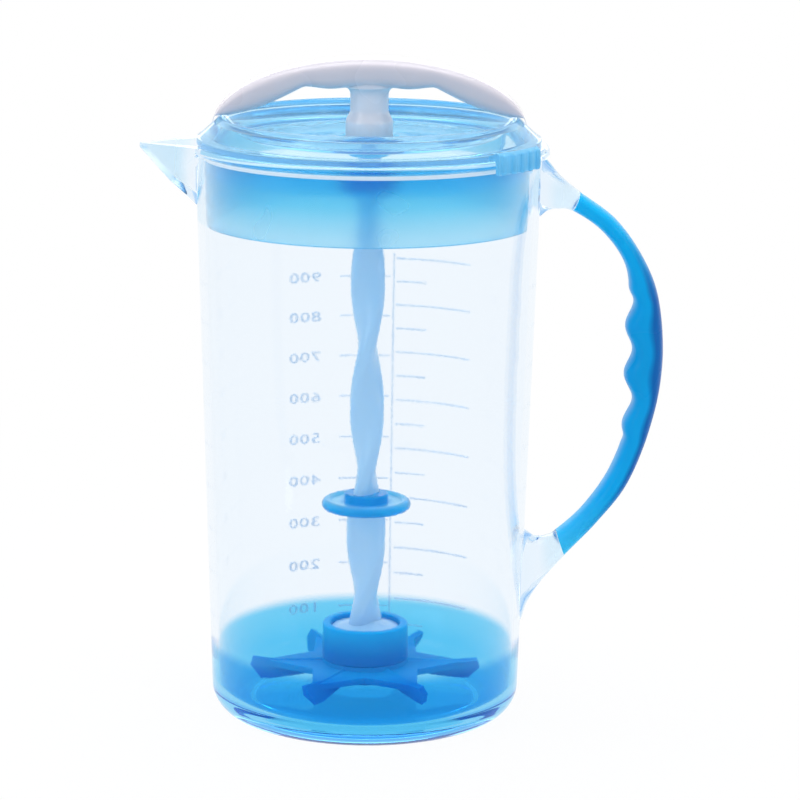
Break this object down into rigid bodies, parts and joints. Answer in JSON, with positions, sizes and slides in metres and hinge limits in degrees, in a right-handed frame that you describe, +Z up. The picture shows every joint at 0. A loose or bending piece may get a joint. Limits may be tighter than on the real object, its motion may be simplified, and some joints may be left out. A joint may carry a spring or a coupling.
{
  "type": "baby formula pitcher",
  "caption": "Clear jug with V spout and gripped handle, turning lid, and a pump handle whose twisted shaft spins a mixing blade.",
  "frame": {"origin": "centre of the circle on which the foot ring stands", "axes": "+Z up along the jug's axis, +X towards the carrying handle, the spout on -X"},
  "size_m": [0.1623, 0.109, 0.2068],
  "materials": {
    "clear_jug": "clear, faint blue",
    "soft_grip": "translucent soft grip",
    "lid_plastic": "translucent blue",
    "seal_rubber": "milky soft rubber",
    "white_plastic": "satin white",
    "shaft_plastic": "milky white",
    "blade_plastic": "translucent blue"
  },
  "bodies": {
    "jug": {"pitcher_body": "clear_jug", "handle_grip": "soft_grip"},
    "seal": {"lid_seal": "seal_rubber"},
    "lid": {"lid": "lid_plastic", "shaft_guide": "blade_plastic"},
    "pump_handle": {"pump_handle": "white_plastic", "swivel_collar": "white_plastic"},
    "mixer": {"twisted_shaft": "shaft_plastic", "splash_ring": "blade_plastic", "blade_hub": "blade_plastic", "impeller": "blade_plastic"}
  },
  "joints": [
    {"name": "lid_lift", "type": "slide", "parent": "jug", "child": "seal", "axis": [0, 0, 1], "range_m": [0, 0.185]},
    {"name": "lid_turn", "type": "hinge", "parent": "seal", "child": "lid", "pos_m": [0, 0, 0.1804], "axis": [0, 0, 1], "range_deg": [0, 180]},
    {"name": "pump", "type": "slide", "parent": "lid", "child": "pump_handle", "axis": [0, 0, 1], "range_m": [0, 0.0935]},
    {"name": "shaft_spin", "type": "hinge", "parent": "pump_handle", "child": "mixer", "pos_m": [0, 0, 0.187], "axis": [0, 0, 1], "range_deg": [0, 421]}
  ],
  "couplings": [
    {"joint": "shaft_spin", "follows": "pump", "rad_per_m": 78.54}
  ]
}
